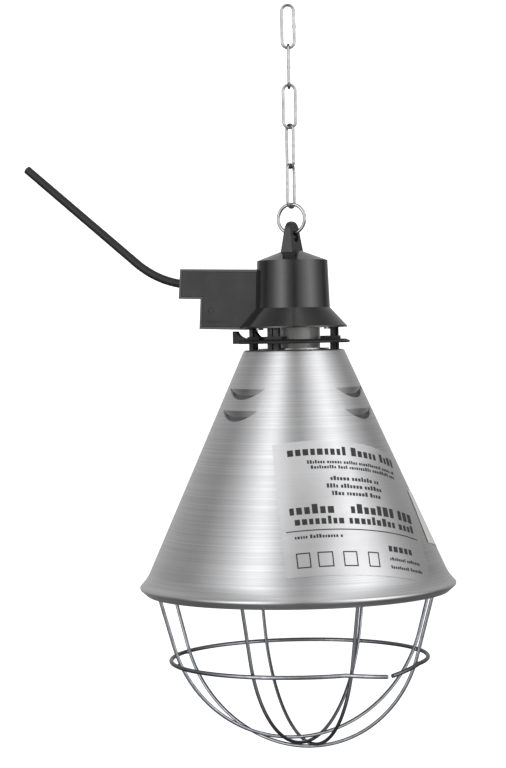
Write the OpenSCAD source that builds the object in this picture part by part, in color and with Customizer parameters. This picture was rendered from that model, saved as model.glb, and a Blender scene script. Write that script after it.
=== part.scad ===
// Hanging heat lamp fixture for poultry and small livestock.
// The origin is on the lamp axis, level with the flat top of the reflector.
// +Z is up and the cable box points along -X.

/* [Reflector] */
// Largest diameter, over the rolled rim
rim_d = 210; // [200:1:220]
// Radius at which the cone meets the flat top
shoulder_r = 33.3; // [33:0.1:34]
// Half angle of the cone
cone_angle = 24; // [23:0.5:25]
// Thickness of the spun sheet
sheet_t = 1; // [0.8:0.1:1.1]
// Width of a cooling louvre, tip to tip
louvre_w = 34.5; // [30:0.5:38]
// Drop of a louvre's rounded lower edge
louvre_drop = 7; // [5:0.5:8]

/* [Guard] */
// Diameter of the four bowed wires
guard_wire_d = 2.3; // [2:0.1:2.4]
// Diameter of the wire in the hoop
hoop_wire_d = 2.7; // [2.4:0.1:3]
// Depth of the lowest wire below the reflector's top
guard_depth = 263.8; // [255:0.2:270]
// Lean of the wires' straight upper ends from vertical
guard_flare = 16; // [14:0.5:18]
// Depth of the hoop below the reflector's top
hoop_depth = 205; // [202:1:208]

/* [Lampholder] */
// Inner radius of the screw shell, for an E27 lamp cap
socket_r = 13.3; // [13.2:0.05:13.4]
// Outer radius of the ceramic body
holder_r = 17.6; // [17.2:0.1:18]

/* [Housing] */
// Radius of the bell's open lower edge
bell_r = 35.8; // [35.5:0.1:36.5]
// Radius where the bell's skirt meets its straight wall
neck_r = 24.6; // [24.3:0.1:25]
// Radius of the bell's wall under the roof
crown_r = 23.5; // [23.3:0.1:24]
// Slope of the conical roof
roof_angle = 20.6; // [19:0.2:22]

/* [Cable box] */
// Reach of the cable box from the lamp axis
box_reach = 81; // [80:0.5:83]
// Thickness of the cable box
box_t = 20; // [20:0.5:22]
// Rise of the cable box towards its outer end
box_rise = 2; // [1.5:0.1:2.5]
// Diameter of the supply cable
cable_d = 5.8; // [5.5:0.1:6]
// Radius of the cable's bend outside the box
cable_bend_r = 75; // [70:1:80]
// Climb of the cable after its bend
cable_climb = 38.3; // [30:0.1:45]
// Length of the straight cable after its bend
cable_free_l = 111; // [60:1:300]

/* [Suspension] */
// Wire diameter of the chain links
link_wire_d = 1.9; // [1.8:0.05:2]
// Outer length of a chain link
link_l = 30.4; // [28:0.2:34]
// Outer width of a chain link
link_w = 10; // [9.6:0.1:11]
// Outer diameter of the suspension ring
ring_d = 21.6; // [21:0.2:23]
// Wire diameter of the suspension ring
ring_wire_d = 2.2; // [2:0.1:2.2]

/* [Hidden] */
$fn = 96;

eps = 0.1;              // overshoot of cutting shapes
gap = 0.05;             // play between parts that touch

// Reflector outline, as [radius, height] pairs
shoulder_fillet = 2;
collar_r = 23.4;
collar_h = 1;
flare_r = 30;           // concave sweep above the rim
flare_end = 45.6;       // its final angle from vertical
roll_r = 1.6;           // outer radius of the rolled rim
lip_turn = -49;         // direction that the inturned lip faces
lip_l = 5.3;
rim_r = rim_d / 2;
cone_stop_r = rim_r - roll_r * (1 - cos(flare_end)) - flare_r * (cos(cone_angle) - cos(flare_end));
cone_stop_z = (shoulder_r - cone_stop_r) / tan(cone_angle);
shoulder_c = [
    shoulder_r - shoulder_fillet * (1 - sin(cone_angle)) / cos(cone_angle),
    -shoulder_fillet
];
flare_c = [cone_stop_r, cone_stop_z] + polar(flare_r, cone_angle);
roll_c = flare_c - polar(flare_r + roll_r, flare_end);

// Louvres
louvre_rows = [-25, -39];
louvre_columns = [-5.4, -112.7, 121];
louvre_lean = 12;       // inward lean of a flap from vertical
punch_r = (pow(louvre_w / 2, 2) + pow(louvre_drop, 2)) / (2 * louvre_drop);

// Legs and baffle
leg_turns = [0, 90, 180, 270];
leg_r = 28.4;           // inner face of a leg
leg_t = 2.8;
leg_w = 7.5;
foot_w = 8.4;           // width of the shoulders under the baffle
tab_t = 1.2;
tab_screw_r = 25.5;     // circle of the screws through the upper tabs
leg_screw_r = 1.6;
leg_screw_l = 7;
tab_top = 16.4;
baffle_z = 4.15;
baffle_r = 37.6;
slot_play = 0.1;

// Lampholder
holder_low = -9;
holder_top = 33;
floor_z = 19;           // ceramic floor over the screw shell
pocket_z = 25;          // floor of the terminal pockets
shell_t = 0.5;
shell_low = -7;
shell_top = 13.9;
shell_tab_z = 18.3;     // height of the tab that leads to the neutral terminal
terminal_x = 10;
wire_z = 29;            // height of the terminals' wire holes
holder_screw_y = 10;
contact_low = 14.2;
contact_cap_h = 1.4;
stem_r = 1.4;
bush_low = 19.4;
bush_r = 2.6;
bush_bore_r = 1.5;
spring_turns = 4;
spring_wire_r = 0.25;
spring_r = 2.2;

// Housing
bell_low = 14.5;
bell_lip_h = 1;
neck_z = 27.7;
crown_z = 59.2;
wall_t = 2.2;
roof_low = crown_z - wall_t;
stud_pad_z = 58;
stud_r = 3;
slot_turn = 25;         // direction of the roof's slot
slot_x = -6.2;
slot_w = 6;

// Cable box, in its own frame before it is tilted
box_pivot_z = 34;
box_top = 53;
box_step_z = 32.8;
box_low = 12.6;
box_step_x = -64.3;
box_wall = 1.6;
cover_t = 2;
cover_play = 0.25;
cover_screws_at = [[-59.5, 17.4], [-31, 48], [-77, 36.6]];
clamp_x = -69;
clamp_screw_z = 5.6;
block_x = -54;
block_l = 16;
block_poles = [26, 34];
block_screw_x = [4, 12];
pole_y = 1.5;

// Cable path
cable_r = cable_d / 2;
core_r = 1.1;
core_y = 1.3;
bend_start = [-75, 45.1];
bend_c = bend_start + cable_bend_r * [sin(box_rise), cos(box_rise)];
cable_inner_l = 14;     // straight length inside the box
cable_entry_z = bend_start.y + 0.4;
// The same height in the box's own frame
cable_box_z = box_pivot_z + (bend_start.y - box_pivot_z) * cos(box_rise)
    + bend_start.x * sin(box_rise);

// Suspension
lug_top_z = 85.4;
lug_base_z = 64.5;
lug_root = 4;           // depth of the lug's foot, trimmed to the roof
lug_hole_z = 75.1;
lug_hole_r = 3.7;
ring_r = (ring_d - ring_wire_d) / 2;
ring_low = 77.27;
ring_c_z = ring_low + ring_r;
link_turns = [25, 115, 25, -32, 81];
link_span = link_l - link_wire_d;
link_pitch = link_span - link_wire_d - gap;
link_low_5 = ring_c_z + ring_r - (ring_wire_d + link_wire_d) / 2 - gap;

// Guard
guard_turns = [0, 135, 90, 45];
guard_shifts = [0, -5, -6.4, 0];    // the bows don't all pass through the lamp axis
guard_lip_r = 95.1;     // wire centre where it passes the rim
guard_lip_z = -163;
guard_top_z = -152;
hoop_r = 85.3;
hoop_gap_l = 4.4;       // gap between its ends, halfway between wires 1 and 2
hoop_droop = 7;         // lean of its free ends below its plane
weld_r = 1.5;
weld_bite = 0.25;

function polar(r, a) = r * [cos(a), sin(a)];
function arc(c, r, from, to, steps) =
    [for (i = [0 : steps]) c + polar(r, from + (to - from) * i / steps)];
function backwards(list) = [for (i = [len(list) - 1 : -1 : 0]) list[i]];
function cone_r(z) = shoulder_r - z * tan(cone_angle);

// Face of the reflector's sheet at depth t under its outer face
function sheet_face(t) = concat(
    arc(shoulder_c, shoulder_fillet - t, 90, cone_angle, 6),
    arc(flare_c, flare_r + t, 180 + cone_angle, 180 + flare_end, 8),
    arc(roll_c, roll_r - t, flare_end, lip_turn, 10),
    [roll_c + polar(roll_r - t, lip_turn) + lip_l * [sin(lip_turn), -cos(lip_turn)]]
);

// Place of a point of the cable box after the box is tilted
function box_point(p) = [
    p.x * cos(box_rise) + (p.z - box_pivot_z) * sin(box_rise),
    p.y,
    box_pivot_z - p.x * sin(box_rise) + (p.z - box_pivot_z) * cos(box_rise)
];

module in_box() {
    translate([0, 0, box_pivot_z])
        rotate([0, box_rise, 0])
            translate([0, 0, -box_pivot_z])
                children();
}

module each_leg() {
    for (turn = leg_turns)
        rotate([0, 0, turn])
            children();
}

// Ring of rectangular or shaped section around the Z axis
module tube(outer_r, inner_r, low, high) {
    translate([0, 0, low])
        difference() {
            cylinder(h = high - low, r = outer_r);
            translate([0, 0, -eps])
                cylinder(h = high - low + 2 * eps, r = inner_r);
        }
}

module rod(p, q, r) {
    v = q - p;
    translate(p)
        rotate([0, acos(v.z / norm(v)), atan2(v.y, v.x)])
            cylinder(h = norm(v), r = r, $fn = 32);
}

module knuckle(p, r) {
    translate(p)
        sphere(r = r + gap, $fn = 32);
}

// Wire along a list of points, rounded at its corners
module wire_run(points, r) {
    for (i = [0 : len(points) - 2])
        rod(points[i], points[i + 1], r);
    for (i = [1 : len(points) - 2])
        knuckle(points[i], r);
}

// Wire in the XY plane: an arc round the origin from +X, and a straight length at each end
module bent_wire(bend_r, angle, wire_r, start_l, end_l) {
    rotate_extrude(angle = angle)
        translate([bend_r, 0])
            circle(r = wire_r, $fn = 48);
    translate([bend_r, 0, 0])
        rotate([90, 0, 0])
            cylinder(h = start_l, r = wire_r, $fn = 48);
    rotate([0, 0, angle])
        translate([bend_r, 0, 0]) {
            rotate([-90, 0, 0])
                cylinder(h = end_l, r = wire_r, $fn = 48);
            knuckle([0, 0, 0], wire_r);
        }
}

// Pan head screw that points up, with its head under the origin
module screw(head_r, head_h, shank_r, shank_l) {
    difference() {
        translate([0, 0, -head_h])
            cylinder(h = head_h, r = head_r, $fn = 48);
        for (turn = [0, 90])
            rotate([0, 0, turn])
                translate([-head_r * 0.6, -0.3, -head_h - eps])
                    cube([head_r * 1.2, 0.6, head_h * 0.5 + eps]);
    }
    cylinder(h = shank_l, r = shank_r, $fn = 48);
}

/* ---- Reflector ---- */

module louvre_punch(drop, top) {
    rotate([90, 0, 90])
        linear_extrude(height = rim_r)
            intersection() {
                translate([0, punch_r - louvre_drop])
                    circle(r = punch_r - louvre_drop + drop);
                translate([-louvre_w, -2 * louvre_w])
                    square([2 * louvre_w, 2 * louvre_w + top]);
            }
}

module louvre_flap(z) {
    root_h = 0.3;
    flap_h = 0.6 * louvre_drop;     // leaves a slot under the flap
    run = flap_h * tan(louvre_lean);
    r = cone_r(z);
    intersection() {
        translate([0, 0, z])
            louvre_punch(louvre_drop - 0.2, root_h);
        rotate([0, 0, -40])
            rotate_extrude(angle = 80)
                polygon([
                    [r - 0.9, z + root_h], [r - 0.3, z + root_h], [r - 0.1, z],
                    [r - run, z - flap_h], [r - run - 0.8, z - flap_h], [r - 0.9, z]
                ]);
    }
}

module reflector() {
    color("silver") {
        difference() {
            rotate_extrude($fn = 180)
                polygon(concat(
                    [[collar_r - sheet_t, collar_h], [collar_r, collar_h], [collar_r, 0]],
                    sheet_face(0),
                    backwards(sheet_face(sheet_t)),
                    [[collar_r - sheet_t, -sheet_t]]
                ));
            for (column = louvre_columns, z = louvre_rows)
                rotate([0, 0, column])
                    translate([0, 0, z])
                        louvre_punch(louvre_drop, 0);
            each_leg()
                translate([leg_r, -leg_w / 2, -2 * sheet_t])
                    cube([leg_t, leg_w, 3 * sheet_t]);
        }
        for (column = louvre_columns, z = louvre_rows)
            rotate([0, 0, column])
                louvre_flap(z);
    }
}

/* ---- Neck ---- */

module leg() {
    play = slot_play;
    neck_w = leg_w - 2 * play;          // width of the tongue through the reflector
    tongue_low = -sheet_t - gap - tab_t;
    hook_l = 4;                         // reach of the tongue's bent end
    tab_reach = 3.2;                    // reach of the upper tab past its screw
    groove_w = 1.8;
    groove_depth = 1;
    difference() {
        union() {
            translate([leg_r, -foot_w / 2, gap])
                cube([leg_t, foot_w, baffle_z - 2 * gap]);
            translate([leg_r, -leg_w / 2, gap])
                cube([leg_t, leg_w, tab_top - gap]);
            translate([tab_screw_r - tab_reach, -leg_w / 2, tab_top - tab_t])
                cube([leg_r + leg_t - tab_screw_r + tab_reach, leg_w, tab_t]);
            translate([leg_r + play, -neck_w / 2, tongue_low])
                cube([leg_t - 2 * play, neck_w, sheet_t + 2 * gap + tab_t + eps]);
            translate([leg_r - hook_l, -neck_w / 2, tongue_low])
                cube([leg_t + hook_l - play, neck_w, tab_t]);
        }
        translate([leg_r + leg_t - groove_depth, -groove_w / 2, 2 * gap])
            cube([2 * groove_depth, groove_w, tab_top - tab_t - 1]);
        translate([tab_screw_r, 0, 0])
            cylinder(h = tab_top + eps, r = leg_screw_r + 0.2);
    }
}

module leg_right() {
    color("dimgray") leg();
}

module leg_rear() {
    color("dimgray") rotate([0, 0, 90]) leg();
}

module leg_left() {
    color("dimgray") rotate([0, 0, 180]) leg();
}

module leg_front() {
    color("dimgray") rotate([0, 0, 270]) leg();
}

module leg_screws() {
    color("gainsboro")
        each_leg()
            translate([tab_screw_r, 0, tab_top - tab_t])
                screw(2.9, 1.9, leg_screw_r, leg_screw_l);
}

module heat_baffle() {
    hole_r = 19.5;
    plate_t = 2;
    block_r = 22.6;         // inner end of the blocks round the legs
    block_w = 12;
    block_h = 4.75;
    bracket_t = 4.5;
    color("#303030")
        difference() {
            union() {
                rotate_extrude()
                    polygon([
                        [hole_r, baffle_z], [baffle_r - 1, baffle_z], [baffle_r, baffle_z + 0.8],
                        [baffle_r - 0.2, baffle_z + 1.4], [baffle_r - 3, baffle_z + 2.7],
                        [baffle_r - 4.2, baffle_z + plate_t], [hole_r, baffle_z + plate_t]
                    ]);
                each_leg()
                    translate([block_r, -block_w / 2, baffle_z])
                        cube([leg_r + leg_t + 0.4 - block_r, block_w, block_h]);
                // Bracket under the cable box, hollowed by two round cuts
                rotate([90, 0, 0])
                    linear_extrude(height = bracket_t, center = true)
                        difference() {
                            translate([-44.4, baffle_z + 0.2])
                                square([24.2, 8.5]);
                            translate([-34.5, 16.2])
                                circle(r = 8.2);
                            translate([-20.5, 15.5])
                                circle(r = 7.8);
                        }
            }
            each_leg()
                translate([leg_r - slot_play, -leg_w / 2 - slot_play, 0])
                    cube([leg_t + 2 * slot_play, leg_w + 2 * slot_play, tab_top]);
        }
}

/* ---- Lampholder ---- */

module lampholder_body() {
    bore_r = socket_r + shell_t + 0.15;
    slot_w = 4;             // slot for the live lead's plate
    side_w = 9;             // width of the side pockets
    side_x = 4.5;           // nearest face of a side pocket
    color("#d8d8d4")
        difference() {
            rotate_extrude()
                polygon([
                    [0, floor_z], [bore_r, floor_z],
                    [bore_r, holder_low], [holder_r - 1, holder_low],
                    [holder_r, holder_low + 1], [holder_r, holder_top - 1],
                    [holder_r - 1, holder_top], [0, holder_top]
                ]);
            translate([0, 0, floor_z - eps])
                cylinder(h = holder_top, r = bush_r + 0.02);
            translate([0, 0, pocket_z])
                cylinder(h = holder_top, r = side_x);
            translate([0, -slot_w / 2, pocket_z])
                cube([holder_r, slot_w, holder_top]);
            for (side = [-1, 1]) {
                translate([side * (holder_r + 5.5) / 2 - (holder_r - side_x) / 2, -side_w / 2, pocket_z])
                    cube([holder_r - side_x, side_w, holder_top]);
                translate([0, side * holder_screw_y, floor_z - eps])
                    cylinder(h = holder_top, r = 2.1);
                translate([0, side * holder_screw_y, floor_z - eps])
                    cylinder(h = 2.2 + eps, r = 3.1);
            }
            translate([-9.4, -2.8, floor_z - eps])
                cube([1, 5.6, pocket_z - floor_z + 2 * eps]);
        }
}

module thread_shell() {
    tab_w = 5;
    tab_t = 0.6;
    riser_x = -9.2;
    outer_r = socket_r + shell_t;
    color("goldenrod") {
        tube(outer_r, socket_r, shell_low, shell_top);
        // Strap up from the shell's end, bent in from its wall
        intersection() {
            rotate_extrude()
                polygon([
                    [outer_r - shell_t / 2, shell_top - 1], [outer_r, shell_top - 1],
                    [outer_r, shell_tab_z + tab_t], [socket_r - 0.3, shell_tab_z + tab_t],
                    [socket_r - 0.3, shell_top], [outer_r - shell_t / 2, shell_top]
                ]);
            translate([-2 * socket_r, -tab_w / 2, 0])
                cube([2 * socket_r, tab_w, holder_top]);
        }
        translate([-socket_r - 0.2, -tab_w / 2, shell_tab_z])
            cube([socket_r + riser_x + 0.8, tab_w, tab_t]);
        translate([riser_x, -tab_w / 2, shell_tab_z])
            cube([tab_t, tab_w, pocket_z - shell_tab_z + 0.9]);
        translate([-12.8, -tab_w / 2, pocket_z + 0.3])
            cube([12.8 + riser_x + tab_t, tab_w, 0.6]);
    }
}

module centre_contact() {
    cap_r = 3.6;
    color("gold") {
        translate([0, 0, contact_low])
            rotate_extrude()
                polygon([
                    [0, 0], [cap_r - 0.8, 0], [cap_r, 0.6], [cap_r, contact_cap_h],
                    [stem_r, contact_cap_h], [stem_r, pocket_z + 2.1 - contact_low],
                    [0, pocket_z + 2.1 - contact_low]
                ]);
        tube(2.3, stem_r - eps, pocket_z + 1.1, pocket_z + 2.1);
    }
}

// Coil made of short round segments, with the given height between its ends' centres
module coil(turns, r, wire_r, low, high) {
    per_turn = 20;
    sides = 8;
    steps = turns * per_turn;
    points = [
        for (i = [0 : steps], k = [0 : sides - 1])
            let (a = 360 * i / per_turn, b = 360 * k / sides, rr = r + wire_r * cos(b))
            [rr * cos(a), rr * sin(a), low + (high - low) * i / steps + wire_r * sin(b)]
    ];
    skins = [
        for (i = [0 : steps - 1], k = [0 : sides - 1])
            let (p = i * sides + k, q = i * sides + (k + 1) % sides)
            [p, p + sides, q + sides, q]
    ];
    polyhedron(
        points = points,
        faces = concat(
            skins,
            [[for (k = [0 : sides - 1]) k]],
            [[for (k = [sides - 1 : -1 : 0]) steps * sides + k]]
        )
    );
}

module contact_spring() {
    color("lightsteelblue")
        coil(
            spring_turns, spring_r, spring_wire_r,
            contact_low + contact_cap_h + spring_wire_r + gap,
            bush_low - spring_wire_r - gap
        );
}

// Screw terminal that a wire enters along +X or -X
module terminal_post(side, low) {
    post_h = holder_top - 1 - low;
    difference() {
        translate([side * terminal_x - 3, -3.5, low])
            cube([6, 7, post_h]);
        translate([side * terminal_x - 4, 0, wire_z])
            rotate([0, 90, 0])
                cylinder(h = 8, r = 1.1);
        translate([side * terminal_x, 0, wire_z])
            cylinder(h = post_h, r = 1.25);
    }
}

module live_terminal() {
    plate_t = 1;
    plate_w = 3.6;
    color("goldenrod") {
        tube(bush_r, bush_bore_r, bush_low, pocket_z + plate_t);
        tube(4.2, bush_bore_r, pocket_z + gap, pocket_z + plate_t);
        difference() {
            translate([0, -plate_w / 2, pocket_z + gap])
                cube([terminal_x, plate_w, plate_t - gap]);
            cylinder(h = holder_top, r = bush_bore_r);
        }
        terminal_post(1, pocket_z + gap);
    }
}

module neutral_terminal() {
    color("goldenrod") terminal_post(-1, pocket_z + 0.9 + gap);
}

module terminal_screws() {
    color("gainsboro")
        for (side = [-1, 1])
            translate([side * terminal_x, 0, holder_top - 1])
                rotate([180, 0, 0])
                    screw(2.3, 1.6, 1.2, 2.2);
}

module lampholder_screws() {
    color("gainsboro")
        for (side = [-1, 1])
            translate([0, side * holder_screw_y, floor_z + 2.15])
                screw(2.8, 1.9, 1.7, 22);
}

/* ---- Housing ---- */

// Solid bell from the given height, grown by extra on its sides
module bell_solid(extra, low) {
    rotate_extrude()
        polygon([
            [0, low], [bell_r + extra, low], [bell_r + extra, bell_low + bell_lip_h],
            [neck_r + extra, neck_z], [crown_r + extra, crown_z],
            [0, crown_z + extra + crown_r * tan(roof_angle)]
        ]);
}

module bell_hollow() {
    roof_r = crown_r - wall_t;
    rotate_extrude()
        polygon([
            [0, 0], [bell_r - wall_t - 0.2, 0], [bell_r - wall_t - 0.2, bell_low],
            [neck_r - wall_t, neck_z], [roof_r, roof_low],
            [7, roof_low + (roof_r - 7) * tan(roof_angle)], [7, stud_pad_z], [0, stud_pad_z]
        ]);
}

// Bosses inside the bell: four for the legs and two for the lampholder
module bell_bosses() {
    intersection() {
        bell_solid(-0.5, bell_low);
        union() {
            each_leg()
                translate([tab_screw_r, 0, tab_top + gap])
                    cylinder(h = neck_z - tab_top, r = 3.4);
            for (side = [-1, 1])
                translate([0, side * holder_screw_y, holder_top + gap])
                    cylinder(h = crown_z, r = 3);
        }
    }
}

// Outline of the cable box, drawn in from its edge by inset
module box_outline(inset) {
    outer_x = -box_reach + inset;
    polygon([
        [0, box_top - inset], [outer_x + 0.8, box_top - inset], [outer_x, box_step_z + inset],
        [box_step_x + inset, box_step_z + inset], [box_step_x - 0.5 + inset, box_low + inset],
        [0, box_low + inset]
    ]);
}

// Prism of the outline between two places along Y
module box_prism(inset, from_y, to_y) {
    in_box()
        translate([0, to_y, 0])
            rotate([90, 0, 0])
                linear_extrude(height = to_y - from_y)
                    box_outline(inset);
}

// Bosses of the cable clamp with a saddle for the cable between them
module clamp_seat() {
    difference() {
        in_box() {
            rotate([90, 0, 0])
                for (z = [-clamp_screw_z, clamp_screw_z])
                    translate([clamp_x, cable_box_z + z, -box_t / 2 + box_wall / 2])
                        cylinder(h = box_t / 2 + 0.5, r = 2.2);
            translate([clamp_x - 2.5, 1, cable_box_z - clamp_screw_z])
                cube([5, box_t / 2 - 1.5, 2 * clamp_screw_z]);
        }
        cable_part(cable_r + 0.02, 0, cable_inner_l + 1);
    }
}

// Slot in the roof below the lug's front, or the floor under it, wider by extra
module roof_slot(extra, h) {
    floor_z = crown_z - 0.3;
    rotate([0, 0, slot_turn])
        translate([slot_x - extra, -21.6, min(floor_z, floor_z + h)])
            cube([slot_w + 2 * extra, 15, abs(h)]);
}

module housing() {
    color("#3c3c3c")
        difference() {
            union() {
                difference() {
                    bell_solid(0, bell_low);
                    bell_hollow();
                }
                bell_bosses();
                difference() {
                    box_prism(0, -box_t / 2, box_t / 2);
                    box_prism(box_wall, -box_t, box_t / 2 - box_wall);
                    bell_hollow();
                }
                clamp_seat();
                roof_slot(1.6, -2.4);
            }
            // Passage for the leads between the bell and the box
            in_box()
                translate([-30, -box_t / 2 + cover_t + 0.5, box_step_z + box_wall])
                    cube([18, box_t - cover_t - box_wall - 0.5, box_top - box_step_z - 2 * box_wall]);
            translate([-box_reach, 0, cable_entry_z])
                rotate([0, 90, 0])
                    cylinder(h = 10, r = cable_r + 0.5, center = true);
            roof_slot(0, 12);
            cylinder(h = 2 * crown_z, r = stud_r + 0.2);
            each_leg()
                translate([tab_screw_r, 0, tab_top - eps])
                    cylinder(h = leg_screw_l + 0.3, r = leg_screw_r + gap);
            for (side = [-1, 1])
                translate([0, side * holder_screw_y, holder_top - eps])
                    cylinder(h = 12, r = 1.75);
            in_box()
                rotate([90, 0, 0]) {
                    for (p = cover_screws_at)
                        translate([p.x, p.y, -box_t / 2 - eps]) {
                            cylinder(h = box_t / 2, r = 1.45);
                            cylinder(h = 1, r = 2.6);
                        }
                    for (z = [-clamp_screw_z, clamp_screw_z])
                        translate([clamp_x, cable_box_z + z, -box_t / 2 + 3])
                            cylinder(h = box_t, r = 1.3);
                }
        }
}

module box_cover() {
    inset = box_wall + cover_play;
    boss_l = box_t - cover_t - box_wall - 0.1;
    dimple = [-56, 25];
    color("#585858") {
        difference() {
            union() {
                box_prism(inset, -box_t / 2, -box_t / 2 + cover_t);
                in_box()
                    rotate([90, 0, 0])
                        for (p = cover_screws_at)
                            translate([p.x, p.y, box_t / 2 - cover_t - boss_l])
                                cylinder(h = boss_l + 0.5, r = 2.1);
            }
            bell_solid(cover_play, 0);
            in_box()
                rotate([90, 0, 0]) {
                    for (p = cover_screws_at)
                        translate([p.x, p.y, -box_t / 2])
                            cylinder(h = box_t - 4, r = 1.25);
                    // Blind slot and round dimple on the outer face
                    translate([-58.6, 17.2, box_t / 2 - 0.4])
                        cube([14.6, 0.7, 1]);
                    translate([dimple.x, dimple.y, box_t / 2 - 0.3])
                        cylinder(h = 1, r = 2.4);
                }
        }
        in_box()
            rotate([90, 0, 0])
                translate([dimple.x, dimple.y, box_t / 2 - 0.4])
                    cylinder(h = 0.35, r = 1.5);
    }
}

module cover_screws() {
    color("gainsboro")
        in_box()
            for (p = cover_screws_at)
                translate([p.x, box_t / 2 - 0.85, p.y])
                    rotate([90, 0, 0])
                        screw(2.4, 0.8, 1.2, 13);
}

/* ---- Hanger ---- */

// Face of the lug that tapers from a base of width w to a round end of radius r
module lug_face(w, r) {
    round_z = lug_top_z - r;
    polygon([
        [-w / 2, lug_base_z - lug_root], [w / 2, lug_base_z - lug_root],
        [w / 2, lug_base_z], [r, round_z], [-r, round_z], [-w / 2, lug_base_z]
    ]);
    translate([0, round_z])
        circle(r = r);
}

module hanger_lug() {
    base_w = 17.8;
    base_t = 8.4;
    roof_z = crown_z + crown_r * tan(roof_angle);
    color("#464646")
        difference() {
            intersection() {
                rotate([90, 0, 90])
                    linear_extrude(height = 2 * base_t, center = true)
                        lug_face(base_w, 7);
                rotate([90, 0, 0])
                    linear_extrude(height = 2 * base_w, center = true)
                        lug_face(base_t, 1.7);
            }
            // Seat on the roof
            rotate_extrude()
                polygon([
                    [0, 0], [crown_r, 0], [crown_r, crown_z + gap], [0, roof_z + gap]
                ]);
            translate([0, 0, lug_hole_z])
                rotate([0, 90, 0])
                    cylinder(h = 3 * base_t, r = lug_hole_r, center = true);
        }
    color("silver")
        translate([0, 0, stud_pad_z - 8])
            cylinder(h = roof_z - stud_pad_z + 9, r = stud_r);
}

module lug_washer() {
    color("gainsboro") tube(6.2, stud_r + 0.15, stud_pad_z - 1.2 - gap, stud_pad_z - gap);
}

module lug_nut() {
    nut_h = 5;
    top = stud_pad_z - 1.2 - 2 * gap;
    color("gainsboro")
        difference() {
            translate([0, 0, top - nut_h])
                cylinder(h = nut_h, r = 5 / cos(30), $fn = 6);
            translate([0, 0, top - nut_h - eps])
                cylinder(h = nut_h + 2 * eps, r = stud_r + gap);
        }
}

/* ---- Inside the cable box ---- */

module cable_clamp() {
    color("#8c8c8c")
        difference() {
            in_box()
                difference() {
                    translate([clamp_x - 3, -5, cable_box_z - 7.9])
                        cube([6, 3.6, 15.8]);
                    for (z = [-clamp_screw_z, clamp_screw_z])
                        translate([clamp_x, 0, cable_box_z + z])
                            rotate([90, 0, 0])
                                cylinder(h = box_t, r = 1.5, center = true);
                }
            cable_part(cable_r + 0.02, 0, cable_inner_l + 1);
        }
}

module clamp_screws() {
    color("gainsboro")
        in_box()
            for (z = [-clamp_screw_z, clamp_screw_z])
                translate([clamp_x, -5 - gap, cable_box_z + z])
                    rotate([-90, 0, 0])
                        screw(2.2, 1.5, 1.2, 8.5);
}

module terminal_block() {
    color("ivory")
        in_box()
            difference() {
                translate([block_x, pole_y - 5, block_poles[0] - 4.5])
                    cube([block_l, box_t / 2 - box_wall - pole_y + 5 - gap, 17]);
                for (z = block_poles) {
                    translate([block_x - eps, pole_y, z])
                        rotate([0, 90, 0])
                            cylinder(h = block_l + 2 * eps, r = 2.3);
                    for (x = block_screw_x)
                        translate([block_x + x, pole_y, z])
                            rotate([90, 0, 0])
                                cylinder(h = box_t, r = 2);
                }
            }
}

module block_inserts() {
    color("goldenrod")
        in_box()
            for (z = block_poles)
                difference() {
                    translate([block_x + 1, pole_y, z])
                        rotate([0, 90, 0])
                            cylinder(h = block_l - 2, r = 2.25);
                    translate([block_x, pole_y, z])
                        rotate([0, 90, 0])
                            cylinder(h = block_l, r = 1.4);
                    for (x = block_screw_x)
                        translate([block_x + x, pole_y, z])
                            rotate([90, 0, 0])
                                cylinder(h = 3, r = 1.25);
                }
}

module block_screws() {
    color("gainsboro")
        in_box()
            for (z = block_poles, x = block_screw_x)
                translate([block_x + x, pole_y - 2.6, z])
                    rotate([-90, 0, 0])
                        screw(1.8, 1.2, 1.2, 1.8);
}

// Lead from a pole of the terminal block to a terminal of the lampholder
module lead(side, pole_z, over) {
    pole = box_point([block_x + block_l, pole_y, pole_z]);
    post_x = side * (terminal_x + 3.4);
    turn_x = side * 19.2;
    wire_run(concat(
        [[post_x, 0, wire_z], [turn_x, 0, wire_z], [turn_x, 0, 37]], over,
        [pole + [4, 0, 0], pole + [0.4, 0, 0]]
    ), 1.2);
    rod([side * (terminal_x - 1.5), 0, wire_z], [post_x, 0, wire_z], 0.6);
    rod(pole + [0.4, 0, 0], pole - [6, 0, 0], 0.6);
}

module live_lead() {
    color("saddlebrown") lead(1, block_poles[1], [[12, 2.4, 43], [-24, 3, 43], [-31, 2, 38.5]]);
}

module neutral_lead() {
    color("royalblue") lead(-1, block_poles[0], [[-21, -2.5, 40], [-28, -3, 38], [-33, -1, 32]]);
}

/* ---- Cable ---- */

// Round part of the cable, at a distance from its axis along Y, reaching inner_l into the box
module cable_part(r, y, inner_l) {
    translate([bend_c.x, y, bend_c.y])
        rotate([90, 0, 0])
            rotate([0, 0, -90 - cable_climb])
                bent_wire(cable_bend_r, cable_climb - box_rise, r, cable_free_l, inner_l);
}

module cable_sheath() {
    color("#202020")
        difference() {
            cable_part(cable_r, 0, cable_inner_l);
            for (y = [-core_y, core_y])
                cable_part(core_r + gap, y, cable_inner_l + 1);
        }
}

// Core that runs through the sheath and on to its pole of the terminal block
module cable_core(y, pole_z, bow) {
    pole = box_point([block_x, pole_y, pole_z]);
    bare_l = cable_inner_l + 1.6;
    start = [bend_start.x + bare_l * cos(box_rise), y, bend_start.y - bare_l * sin(box_rise)];
    cable_part(core_r, y, bare_l);
    wire_run([start, bow, pole - [2.5, 0, 0], pole - [0.4, 0, 0]], core_r);
    knuckle(start, core_r);
    rod(pole - [0.4, 0, 0], pole + [6, 0, 0], 0.6);
}

module cable_core_live() {
    color("saddlebrown") cable_core(core_y, block_poles[1], [-57, 1, 41.5]);
}

module cable_core_neutral() {
    color("royalblue") cable_core(-core_y, block_poles[0], [-58.6, -1.6, 38]);
}

/* ---- Suspension ---- */

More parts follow.
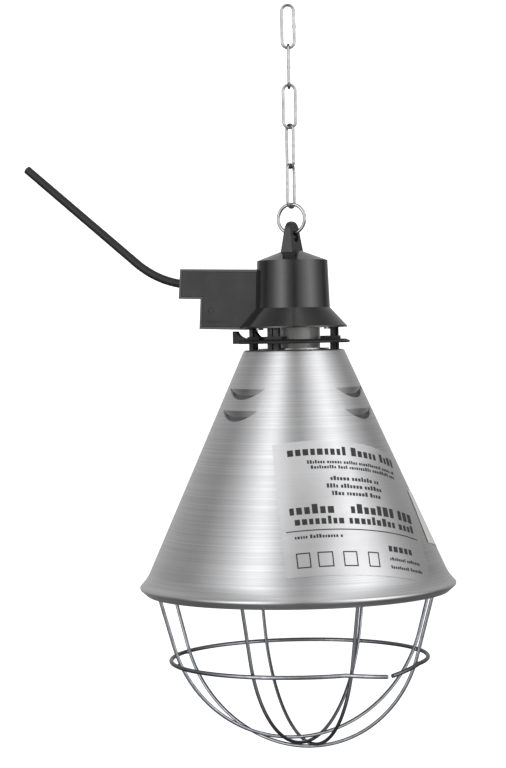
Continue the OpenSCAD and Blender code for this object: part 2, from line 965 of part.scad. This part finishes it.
// Round bar bent to a half circle in the XZ plane, open downwards
module half_bow(r, wire_r) {
    rotate([90, 0, 0])
        rotate_extrude(angle = 180)
            translate([r, 0])
                circle(r = wire_r, $fn = 48);
}

module suspension_ring() {
    color("gainsboro")
        translate([0, 0, ring_c_z])
            rotate([90, 0, 0])
                rotate_extrude()
                    translate([ring_r, 0])
                        circle(r = ring_wire_d / 2, $fn = 48);
}

// Link number n, counted from the top, with its weld on one limb
module chain_link(n) {
    bow_r = (link_w - link_wire_d) / 2;
    limb = link_span - 2 * bow_r;
    low = link_low_5 + (5 - n) * link_pitch;
    color("gainsboro")
        translate([0, 0, low + bow_r])
            rotate([0, 0, link_turns[n - 1]]) {
                for (side = [-1, 1])
                    translate([side * bow_r, 0, 0])
                        cylinder(h = limb, r = link_wire_d / 2, $fn = 48);
                translate([0, 0, limb])
                    half_bow(bow_r, link_wire_d / 2);
                rotate([180, 0, 0])
                    half_bow(bow_r, link_wire_d / 2);
                translate([bow_r, 0, limb / 2 - 1])
                    cylinder(h = 2, r = link_wire_d / 2 + 0.2, $fn = 48);
            }
}

module chain_link_1() {
    chain_link(1);
}

module chain_link_2() {
    chain_link(2);
}

module chain_link_3() {
    chain_link(3);
}

module chain_link_4() {
    chain_link(4);
}

module chain_link_5() {
    chain_link(5);
}

/* ---- Guard ---- */

// Depth of the lowest point of wire n; the wires lie on each other at the centre
function bow_low(n) = -guard_depth + (n - 1) * (guard_wire_d - weld_bite);
// Radius of its round bottom, which runs smoothly into the leaning ends
function bow_r(n) =
    (guard_lip_r * cos(guard_flare) - (guard_lip_z - bow_low(n)) * sin(guard_flare))
    / (1 - sin(guard_flare));
// Distance of wire n from the lamp axis at height z on its round part
function bow_reach(n, z) = sqrt(pow(bow_r(n), 2) - pow(z - bow_low(n) - bow_r(n), 2));

module guard_wire(n) {
    r = bow_r(n);
    straight_l = (guard_top_z - bow_low(n) - r * (1 - sin(guard_flare))) / cos(guard_flare);
    color("#5a5e66")
        rotate([0, 0, guard_turns[n - 1]])
            translate([0, guard_shifts[n - 1], bow_low(n) + r])
                rotate([90, 0, 0])
                    rotate([0, 0, 180 + guard_flare])
                        bent_wire(r, 180 - 2 * guard_flare, guard_wire_d / 2, straight_l, straight_l);
}

module guard_wire_1() {
    guard_wire(1);
}

module guard_wire_2() {
    guard_wire(2);
}

module guard_wire_3() {
    guard_wire(3);
}

module guard_wire_4() {
    guard_wire(4);
}

module hoop_arc(angle) {
    rotate_extrude(angle = angle)
        translate([hoop_r, 0])
            circle(r = hoop_wire_d / 2, $fn = 48);
}

module guard_hoop() {
    end_turn = guard_turns[1] - 180;
    end_angle = (-end_turn - hoop_gap_l / hoop_r * 180 / PI) / 2;
    color("#5a5e66")
        translate([0, 0, -hoop_depth]) {
            hoop_arc(360 + end_turn);
            rotate([hoop_droop, 0, 0])
                rotate([0, 0, -end_angle])
                    hoop_arc(end_angle);
            rotate([0, 0, end_turn]) {
                rotate([-hoop_droop, 0, 0])
                    hoop_arc(end_angle);
                knuckle([hoop_r, 0, 0], hoop_wire_d / 2);
            }
            knuckle([hoop_r, 0, 0], hoop_wire_d / 2);
            for (n = [1 : 4], side = [-1, 1])
                rotate([0, 0, guard_turns[n - 1]])
                    rotate([0, 0, atan2(guard_shifts[n - 1], side * bow_reach(n, -hoop_depth))])
                        translate([hoop_r - hoop_wire_d / 2, 0, 0])
                            sphere(r = weld_r, $fn = 48);
        }
}

reflector();
heat_baffle();
leg_right();
leg_rear();
leg_left();
leg_front();
leg_screws();
lampholder_body();
thread_shell();
centre_contact();
contact_spring();
live_terminal();
neutral_terminal();
terminal_screws();
lampholder_screws();
housing();
box_cover();
cover_screws();
hanger_lug();
lug_washer();
lug_nut();
cable_clamp();
clamp_screws();
terminal_block();
block_inserts();
block_screws();
live_lead();
neutral_lead();
cable_sheath();
cable_core_live();
cable_core_neutral();
suspension_ring();
chain_link_1();
chain_link_2();
chain_link_3();
chain_link_4();
chain_link_5();
guard_wire_1();
guard_wire_2();
guard_wire_3();
guard_wire_4();
guard_hoop();
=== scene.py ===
# Looks, light and camera for the hanging heat lamp fixture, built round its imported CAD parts.
import math
import random

import bpy
from mathutils import Matrix, Vector


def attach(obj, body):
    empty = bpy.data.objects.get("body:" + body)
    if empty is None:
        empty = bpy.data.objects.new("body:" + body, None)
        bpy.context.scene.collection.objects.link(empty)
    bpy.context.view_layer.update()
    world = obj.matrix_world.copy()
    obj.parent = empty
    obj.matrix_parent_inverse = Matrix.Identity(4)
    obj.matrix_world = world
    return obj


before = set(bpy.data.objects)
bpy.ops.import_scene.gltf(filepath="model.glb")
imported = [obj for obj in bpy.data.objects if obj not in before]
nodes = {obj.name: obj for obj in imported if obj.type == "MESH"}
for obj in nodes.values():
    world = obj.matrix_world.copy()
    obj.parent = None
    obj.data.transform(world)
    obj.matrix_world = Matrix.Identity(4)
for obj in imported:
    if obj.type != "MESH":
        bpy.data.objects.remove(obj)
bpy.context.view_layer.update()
MM = 0.001

# The camera stands level with the lamp's neck, turned a quarter past the cable box.
CAMERA_TURN = math.radians(-64.6)
CAMERA_REACH = 1.42
CAMERA_HEIGHT = 6.7 * MM
CAMERA_ROLL = math.radians(1.07)
LENS_MM = 100.0
SENSOR_MM = 36.0
LENS_SHIFT = (-0.053, -0.058)    # as parts of the picture's height

# Reflector's cone, as in the CAD part, in millimetres
CONE_TOP_R = 33.3
CONE_ANGLE = math.radians(24)
INK_LIFT = 0.05    # height of the print above its label
PRINT_SEED = 7

# Left and right ends, middle and height of each row of blocks on the silver label
PRINT_ROWS = [
    (-44, 43, 40.7, 6.9), (-32, 38, 32.8, 2.7), (-30, 37, 29.3, 2.7),
    (-18, 19, 21.7, 3.4), (-21, 21, 16.6, 3.4), (-18, 19, 11.6, 3.4),
    (-46.6, -13, 1.7, 7.5), (-6.6, 49.5, 1.7, 7.5), (-44, 48, -6.0, 6.2),
    (-45, -14, -16.7, 2.8), (18, 45, -22.7, 6.2), (18, 46, -30.5, 2.6), (18, 46, -36.0, 2.6),
]
# Left end and width of each empty square on it
PRINT_SQUARES = [(-45.5, 9), (-32, 10), (-15.5, 9.5), (1.5, 8)]

# Brightness round the object, by degrees to the right of the camera
STUDIO_ROUND = [
    (-180, 0.5), (-130, 0.3), (-95, 0.12), (-66, 0.6), (-36, 2.0), (-14, 0.6), (6, 0.14),
    (30, 0.9), (58, 1.9), (88, 0.6), (116, 0.12), (150, 0.3), (180, 0.5),
]
# Its strength, and the even light added to it, from straight below (-1) to straight above (1)
STUDIO_HEIGHT = [(-1, 0.2), (-0.35, 0.36), (0.0, 1.2), (0.3, 0.95), (0.5, 0.8), (1, 0.5)]
STUDIO_FILL = [(-1, 0.1), (0.05, 0), (0.3, 0.14), (0.5, 0.32), (1, 0.32)]


# ---- Node helpers ----

class Shader:
    """A material's node tree, with short calls for the nodes used here."""

    def __init__(self, name, colour, roughness, metallic=0.0, **settings):
        self.material = bpy.data.materials.new(name)
        self.material.use_nodes = True
        self.tree = self.material.node_tree
        self.bsdf = self.tree.nodes["Principled BSDF"]
        self.put("Base Color", (*colour, 1.0))
        self.put("Roughness", roughness)
        self.put("Metallic", metallic)
        for key, value in settings.items():
            self.put(key.replace("_", " "), value)
        coords = self.tree.nodes.new("ShaderNodeTexCoord")
        self.position = coords.outputs["Object"]

    def put(self, name, value):
        self.set_input(self.bsdf.inputs[name], value)

    def set_input(self, socket, value):
        if isinstance(value, bpy.types.NodeSocket):
            self.tree.links.new(value, socket)
        else:
            socket.default_value = value

    def node(self, kind, inputs=None, **attributes):
        node = self.tree.nodes.new(kind)
        for key, value in attributes.items():
            setattr(node, key, value)
        for key, value in (inputs or {}).items():
            self.set_input(node.inputs[key], value)
        return node

    def noise(self, scale, detail=3.0, vector=None, roughness=0.55):
        inputs = {"Vector": vector or self.position, "Scale": scale, "Detail": detail,
                  "Roughness": roughness}
        return self.node("ShaderNodeTexNoise", inputs).outputs["Fac"]

    def stretched(self, scale):
        """Position scaled by a different amount along each axis."""
        inputs = {0: self.position, 1: scale}
        return self.node("ShaderNodeVectorMath", inputs, operation="MULTIPLY").outputs[0]

    def spread(self, value, low, high, from_low=0.3, from_high=0.7):
        """value taken from one range to another."""
        inputs = {"Value": value, "From Min": from_low, "From Max": from_high,
                  "To Min": low, "To Max": high}
        return self.node("ShaderNodeMapRange", inputs).outputs["Result"]

    def mix(self, factor, one, two, blend="MIX"):
        node = self.tree.nodes.new("ShaderNodeMix")
        node.data_type = "RGBA"
        node.blend_type = blend
        for index, value in ((0, factor), (6, one), (7, two)):
            if isinstance(value, tuple) and len(value) == 3:
                value = (*value, 1.0)
            self.set_input(node.inputs[index], value)
        return node.outputs[2]

    def bump(self, height, distance, strength=1.0):
        inputs = {"Height": height, "Distance": distance, "Strength": strength}
        self.put("Normal", self.node("ShaderNodeBump", inputs).outputs["Normal"])

    def add(self, one, two):
        return self.node("ShaderNodeMath", {0: one, 1: two}, operation="ADD").outputs[0]

    def times(self, one, two):
        return self.node("ShaderNodeMath", {0: one, 1: two}, operation="MULTIPLY").outputs[0]


# ---- Materials ----

def spun_aluminium():
    """Satin sheet with the turning tool's rings round the lamp axis."""
    s = Shader("spun_aluminium", (0.7, 0.7, 0.71), 0.34, 1.0, Anisotropic=0.7,
               Anisotropic_Rotation=0.25)
    rings = s.noise(1.0, 4.0, s.stretched((3.0, 3.0, 850.0)), 0.75)
    fine = s.noise(1.0, 2.0, s.stretched((6.0, 6.0, 2600.0)))
    cloud = s.noise(14.0, 4.0)
    tone = s.mix(s.spread(rings, 0.0, 1.0), (0.62, 0.625, 0.64), (0.86, 0.86, 0.865))
    s.put("Base Color", s.mix(s.spread(cloud, 0.0, 0.25), tone, (0.56, 0.56, 0.57)))
    s.put("Roughness", s.spread(fine, 0.28, 0.42))
    s.put("Tangent", s.node("ShaderNodeTangent", direction_type="RADIAL", axis="Z").outputs[0])
    s.bump(s.add(rings, s.times(fine, 0.5)), 0.0001, 0.5)
    return s.material


def plated_wire(name, colour, roughness, dull, edge):
    """Zinc-plated wire with dulled patches, and painted shade that darkens it to the edge colour
    towards its outline, in place of the dark studio it would mirror there.
    """
    s = Shader(name, colour, roughness, 1.0)
    patches = s.noise(220.0, 5.0)
    pits = s.noise(1800.0, 2.0)
    tone = s.mix(s.spread(patches, 0.0, 0.7), colour, dull)
    outline_shade_mask = s.node("ShaderNodeLayerWeight", {"Blend": 0.5}).outputs["Facing"]
    # Painted shade: blends to the edge colour towards the outline, standing in for dark
    # reflections there
    s.put("Base Color", s.mix(s.spread(outline_shade_mask, 0.0, 1.0, 0.15, 0.6), tone, edge))
    s.put("Roughness", s.spread(patches, roughness - 0.06, roughness + 0.14))
    s.bump(s.add(patches, s.times(pits, 0.3)), 0.00006, 0.5)
    return s.material


def plated_steel():
    """Zinc-plated screws and washers with handling marks."""
    s = Shader("zinc_plated_steel", (0.66, 0.66, 0.67), 0.3, 1.0)
    marks = s.noise(900.0, 4.0)
    s.put("Base Color", s.mix(s.spread(marks, 0.0, 0.5), (0.7, 0.7, 0.71), (0.42, 0.42, 0.4)))
    s.put("Roughness", s.spread(marks, 0.22, 0.4))
    s.bump(marks, 0.00003, 0.4)
    return s.material


def moulded_plastic(name, colour, roughness, grain, depth, specular=0.5):
    """Moulded plastic with a fine eroded grain and slight flow marks."""
    s = Shader(name, colour, roughness)
    s.put("Specular IOR Level", specular)
    flow = s.noise(60.0, 4.0)
    fine = s.noise(grain, 4.0)
    paler = tuple(min(1.0, c * 1.5 + 0.006) for c in colour)
    s.put("Base Color", s.mix(s.spread(flow, 0.0, 0.6), colour, paler))
    s.put("Roughness", s.spread(fine, roughness - 0.07, roughness + 0.09))
    s.bump(s.add(fine, s.times(flow, 0.4)), depth, 0.5)
    return s.material


def ceramic():
    """Glazed steatite, slightly clouded, with sparse dark specks."""
    s = Shader("steatite", (0.62, 0.6, 0.56), 0.28)
    s.put("Coat Weight", 0.3)
    specks = s.noise(1400.0, 2.0)
    cloud = s.noise(90.0, 3.0)
    tone = s.mix(s.spread(cloud, 0.0, 0.5), (0.55, 0.55, 0.53), (0.44, 0.44, 0.42))
    s.put("Base Color", s.mix(s.spread(specks, 0.0, 0.5, 0.62, 0.8), tone, (0.25, 0.22, 0.18)))
    s.bump(cloud, 0.0001, 0.3)
    return s.material


def brass():
    """Brass with patches of tarnish."""
    s = Shader("brass", (0.72, 0.55, 0.26), 0.3, 1.0)
    tarnish = s.noise(400.0, 4.0)
    s.put("Base Color", s.mix(s.spread(tarnish, 0.0, 0.7), (0.76, 0.6, 0.3), (0.42, 0.3, 0.14)))
    s.put("Roughness", s.spread(tarnish, 0.24, 0.45))
    s.bump(tarnish, 0.00003, 0.4)
    return s.material


def insulation(name, colour):
    """Insulation of a single core."""
    s = Shader(name, colour, 0.42)
    wave = s.noise(500.0, 3.0)
    darker = tuple(c * 0.6 for c in colour)
    s.put("Base Color", s.mix(s.spread(wave, 0.0, 0.6), colour, darker))
    s.bump(wave, 0.00004, 0.4)
    return s.material


def label_film():
    """Silver film: smoother than the sheet under it, with faint crinkles."""
    s = Shader("label_film", (0.74, 0.74, 0.75), 0.36, 0.95, Anisotropic=0.65,
               Anisotropic_Rotation=0.25)
    s.put("Tangent", s.node("ShaderNodeTangent", direction_type="RADIAL", axis="Z").outputs[0])
    crinkle = s.noise(45.0, 3.0)
    fine = s.noise(1.0, 2.0, s.stretched((8.0, 8.0, 900.0)))
    s.put("Base Color", s.mix(s.spread(fine, 0.0, 0.4), (0.74, 0.74, 0.75), (0.67, 0.67, 0.68)))
    s.put("Roughness", s.spread(crinkle, 0.32, 0.42))
    s.bump(s.add(crinkle, s.times(fine, 0.3)), 0.00015, 0.4)
    return s.material


def label_ink():
    """Black print with slight wear."""
    s = Shader("label_ink", (0.02, 0.02, 0.022), 0.5)
    worn = s.noise(1500.0, 2.0)
    s.put("Base Color", s.mix(s.spread(worn, 0.0, 0.5), (0.018, 0.018, 0.02), (0.07, 0.07, 0.07)))
    return s.material


def white_paper():
    """Matt paper with a fibre texture."""
    s = Shader("label_paper", (0.8, 0.8, 0.79), 0.5)
    fibre = s.noise(1200.0, 3.0)
    s.put("Base Color", s.mix(s.spread(fibre, 0.0, 0.4), (0.82, 0.82, 0.81), (0.7, 0.7, 0.68)))
    s.bump(fibre, 0.00003, 0.3)
    return s.material


def stage_white():
    """Pale floor, lit a little from within so that it stays even."""
    s = Shader("stage_white", (0.9, 0.9, 0.9), 0.9)
    s.put("Emission Color", (1.0, 1.0, 1.0, 1.0))
    s.put("Emission Strength", 0.6)
    s.bump(s.noise(300.0), 0.0002, 0.2)
    return s.material


def dress_nodes():
    """Gives each CAD node its material."""
    black = moulded_plastic("housing_black", (0.004, 0.004, 0.0042), 0.18, 900.0, 0.00004, 1.0)
    baffle = moulded_plastic("baffle_black", (0.012, 0.012, 0.012), 0.5, 700.0, 0.0001)
    cover = moulded_plastic("cover_grey", (0.062, 0.062, 0.063), 0.62, 1300.0, 0.00006, 0.3)
    lug = moulded_plastic("lug_grey", (0.014, 0.014, 0.015), 0.26, 500.0, 0.00003, 0.75)
    clamp = moulded_plastic("clamp_grey", (0.25, 0.25, 0.25), 0.5, 900.0, 0.00006)
    ivory = moulded_plastic("block_ivory", (0.72, 0.7, 0.62), 0.35, 900.0, 0.00004)
    sheath = moulded_plastic("cable_black", (0.014, 0.014, 0.015), 0.45, 1600.0, 0.00005)
    # The last colour of each plated_wire is painted shade, laid on towards the wire's outline
    legs = plated_wire("leg_metal", (0.07, 0.07, 0.072), 0.4, (0.03, 0.03, 0.03),
                       (0.03, 0.03, 0.03))
    zinc = plated_wire("chain_zinc", (0.72, 0.72, 0.73), 0.11, (0.36, 0.36, 0.37),
                       (0.06, 0.06, 0.06))
    guard = plated_wire("guard_zinc", (0.56, 0.58, 0.63), 0.28, (0.3, 0.31, 0.35),
                        (0.11, 0.113, 0.125))
    steel = plated_steel()
    gold = brass()
    brown = insulation("brown_insulation", (0.12, 0.045, 0.02))
    blue = insulation("blue_insulation", (0.02, 0.08, 0.32))
    looks = {
        "reflector": spun_aluminium(), "heat_baffle": baffle, "lampholder_body": ceramic(),
        "housing": black, "box_cover": cover, "hanger_lug": lug, "cable_clamp": clamp,
        "terminal_block": ivory, "cable_sheath": sheath, "leg_screws": steel,
        "thread_shell": gold, "centre_contact": gold, "contact_spring": steel,
        "live_terminal": gold, "neutral_terminal": gold, "block_inserts": gold,
        "terminal_screws": steel, "lampholder_screws": steel, "cover_screws": steel,
        "lug_washer": steel, "lug_nut": steel, "clamp_screws": steel, "block_screws": steel,
        "live_lead": brown, "cable_core_live": brown,
        "neutral_lead": blue, "cable_core_neutral": blue, "suspension_ring": zinc,
    }
    for prefix, look in (("chain_link_", zinc), ("guard_", guard), ("leg_", legs)):
        for name in nodes:
            if name.startswith(prefix):
                looks.setdefault(name, look)
    for name, obj in nodes.items():
        obj.data.materials.clear()
        obj.data.materials.append(looks[name])


# ---- Labels ----

class ConeSheet:
    """Flat label laid on the cone. Places on it are millimetres right of and above its middle."""

    def __init__(self, turn, slant, tilt, lift):
        self.turn = math.radians(turn)
        self.slant = slant
        self.tilt = math.radians(tilt)
        self.lift = lift
        self.verts, self.faces, self.inks = [], [], []

    def point(self, a, b, lift):
        """Rolls the flat sheet on to the cone, whose apex is the middle of its unrolled rings."""
        across = a * math.cos(self.tilt) + b * math.sin(self.tilt)
        down = self.slant + a * math.sin(self.tilt) - b * math.cos(self.tilt)
        r = math.hypot(across, down) * math.sin(CONE_ANGLE)
        turn = self.turn + math.atan2(across, down) / math.sin(CONE_ANGLE)
        z = (CONE_TOP_R - r) / math.tan(CONE_ANGLE)
        out = r + lift * math.cos(CONE_ANGLE)
        up = z + lift * math.sin(CONE_ANGLE)
        return (out * math.cos(turn) * MM, out * math.sin(turn) * MM, up * MM)

    def patch(self, left, right, low, high, ink=0, pitch=2.0):
        """Rectangle in small quads that follow the cone. ink is 1 for print, 0 for the label."""
        columns = max(1, math.ceil((right - left) / pitch))
        rows = max(1, math.ceil((high - low) / pitch))
        lift = self.lift + INK_LIFT * ink
        first = len(self.verts)
        for j in range(rows + 1):
            for i in range(columns + 1):
                a = left + (right - left) * i / columns
                b = low + (high - low) * j / rows
                self.verts.append(self.point(a, b, lift))
        for j in range(rows):
            for i in range(columns):
                v = first + j * (columns + 1) + i
                self.faces.append((v, v + 1, v + columns + 2, v + columns + 1))
                self.inks.append(ink)

    def build(self, name, materials):
        mesh = bpy.data.meshes.new(name)
        mesh.from_pydata(self.verts, [], self.faces)
        for material in materials:
            mesh.materials.append(material)
        mesh.polygons.foreach_set("use_smooth", [True] * len(self.faces))
        mesh.polygons.foreach_set("material_index", self.inks)
        obj = bpy.data.objects.new(name, mesh)
        bpy.context.scene.collection.objects.link(obj)
        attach(obj, "lamp")


def add_line(sheet, left, right, middle, height):
    """A row of small plain blocks in groups, as a stand-in for a line of print."""
    low = middle - height / 2
    x = left
    while x < right - 0.4 * height:
        for _ in range(random.randint(4, 11)):
            width = random.uniform(0.34, 0.56) * height
            if x + width > right:
                break
            tall = random.choice((0.62, 0.62, 0.86)) * height
            sheet.patch(x, x + width, low, low + tall, 1)
            x += width + 0.2 * height
        x += 0.4 * height


def add_frame(sheet, left, right, middle, height, stroke):
    """Empty rectangle drawn with a line of the given stroke."""
    low, high = middle - height / 2, middle + height / 2
    sheet.patch(left, right, low, low + stroke, 1)
    sheet.patch(left, right, high - stroke, high, 1)
    sheet.patch(left, left + stroke, low + stroke, high - stroke, 1)
    sheet.patch(right - stroke, right, low + stroke, high - stroke, 1)


def add_labels():
    """Silver label with stand-in print, and the plain paper one beside it."""
    random.seed(PRINT_SEED)
    rating = ConeSheet(-34.1, 194.2, 7.4, 0.2)
    rating.patch(-53, 53, -43, 47)
    for left, right, middle, height in PRINT_ROWS:
        add_line(rating, left, right, middle, height)
    rating.patch(-50, 48, -13.2, -12.5, 1)
    for left, width in PRINT_SQUARES:
        add_frame(rating, left, left + width, -32.3, 10, 0.8)
    rating.build("rating_label", (label_film(), label_ink()))

    caution = ConeSheet(18.9, 206, 15, 0.25)
    caution.patch(-15, 15, -19, 19)
    caution.build("caution_label", (white_paper(),))


# ---- Stage, light and camera ----

def add_stage():
    """Pale floor that sweeps up behind the object."""
    floor_z = -0.42
    depth, wall, radius, width = 1.6, 3.0, 1.2, 5.0
    profile = [(-4.0, floor_z), (depth, floor_z)]
    for i in range(1, 13):
        a = math.radians(90 * i / 12)
        profile.append((depth + radius * math.sin(a), floor_z + radius * (1 - math.cos(a))))
    profile.append((depth + radius, floor_z + wall))
    forward = Vector((-math.cos(CAMERA_TURN), -math.sin(CAMERA_TURN), 0))
    side = Vector((-forward.y, forward.x, 0))
    verts, faces = [], []
    for along, z in profile:
        for edge in (-width, width):
            verts.append(forward * along + side * edge + Vector((0, 0, z)))
    for i in range(len(profile) - 1):
        faces.append((2 * i, 2 * i + 1, 2 * i + 3, 2 * i + 2))
    mesh = bpy.data.meshes.new("floor")
    mesh.from_pydata(verts, [], faces)
    mesh.polygons.foreach_set("use_smooth", [True] * len(faces))
    floor = bpy.data.objects.new("floor", mesh)
    floor.data.materials.append(stage_white())
    bpy.context.scene.collection.objects.link(floor)
    # Seen by the camera only, so that the object mirrors the studio and not the floor
    floor.visible_glossy = False
    floor.visible_diffuse = False


def set_ramp(node, stops, low, high):
    """Grey levels at given values between low and high."""
    elements = node.color_ramp.elements
    while len(elements) > 1:
        elements.remove(elements[0])
    for i, (value, level) in enumerate(stops):
        place = (value - low) / (high - low)
        element = elements[0] if i == 0 else elements.new(place)
        element.position = place
        element.color = (level, level, level, 1)


def add_world():
    """White to the camera; round the object, two soft boxes with grey between them."""
    world = bpy.data.worlds.new("studio")
    world.use_nodes = True
    tree = world.node_tree
    tree.nodes.clear()
    new, link = tree.nodes.new, tree.links.new
    coords = new("ShaderNodeTexCoord")
    turned = new("ShaderNodeVectorRotate")
    turned.rotation_type = "Z_AXIS"
    turned.inputs["Angle"].default_value = -CAMERA_TURN
    gradient = new("ShaderNodeTexGradient")
    gradient.gradient_type = "RADIAL"
    ramp = new("ShaderNodeValToRGB")
    link(coords.outputs["Generated"], turned.inputs["Vector"])
    link(turned.outputs["Vector"], gradient.inputs["Vector"])
    link(gradient.outputs["Color"], ramp.inputs["Fac"])
    set_ramp(ramp, STUDIO_ROUND, -180, 180)
    # Darker towards the floor, and filled in from above
    split = new("ShaderNodeSeparateXYZ")
    link(turned.outputs["Vector"], split.inputs[0])
    lifted = new("ShaderNodeMapRange")
    lifted.inputs["From Min"].default_value = -1
    link(split.outputs["Z"], lifted.inputs["Value"])
    height = new("ShaderNodeValToRGB")
    set_ramp(height, STUDIO_HEIGHT, -1, 1)
    link(lifted.outputs["Result"], height.inputs["Fac"])
    fill = new("ShaderNodeValToRGB")
    set_ramp(fill, STUDIO_FILL, -1, 1)
    link(lifted.outputs["Result"], fill.inputs["Fac"])
    total = new("ShaderNodeVectorMath")
    link(ramp.outputs["Color"], total.inputs[0])
    link(fill.outputs["Color"], total.inputs[1])
    around = new("ShaderNodeBackground")
    link(total.outputs["Vector"], around.inputs["Color"])
    link(height.outputs["Color"], around.inputs["Strength"])
    seen = new("ShaderNodeBackground")
    seen.inputs["Color"].default_value = (1, 1, 1, 1)
    seen.inputs["Strength"].default_value = 1.0
    paths = new("ShaderNodeLightPath")
    mixed = new("ShaderNodeMixShader")
    out = new("ShaderNodeOutputWorld")
    link(paths.outputs["Is Camera Ray"], mixed.inputs[0])
    link(around.outputs[0], mixed.inputs[1])
    link(seen.outputs[0], mixed.inputs[2])
    link(mixed.outputs[0], out.inputs[0])
    bpy.context.scene.world = world


def add_camera():
    """Level camera, rolled slightly, with the lamp shifted off the middle."""
    scene = bpy.context.scene
    data = bpy.data.cameras.new("camera")
    data.sensor_fit = "VERTICAL"
    data.sensor_height = SENSOR_MM
    data.lens = LENS_MM
    data.shift_x, data.shift_y = LENS_SHIFT
    camera = bpy.data.objects.new("camera", data)
    towards = Vector((-math.cos(CAMERA_TURN), -math.sin(CAMERA_TURN), 0))
    up = Vector((0, 0, 1))
    right = towards.cross(up)
    rolled_right = right * math.cos(CAMERA_ROLL) - up * math.sin(CAMERA_ROLL)
    rolled_up = rolled_right.cross(towards)
    basis = Matrix((rolled_right, rolled_up, -towards)).transposed().to_4x4()
    place = -towards * CAMERA_REACH + up * CAMERA_HEIGHT
    camera.matrix_world = Matrix.Translation(place) @ basis
    scene.collection.objects.link(camera)
    scene.camera = camera


dress_nodes()
add_labels()
add_stage()
add_world()
add_camera()
bpy.context.scene.view_settings.view_transform = "Standard"
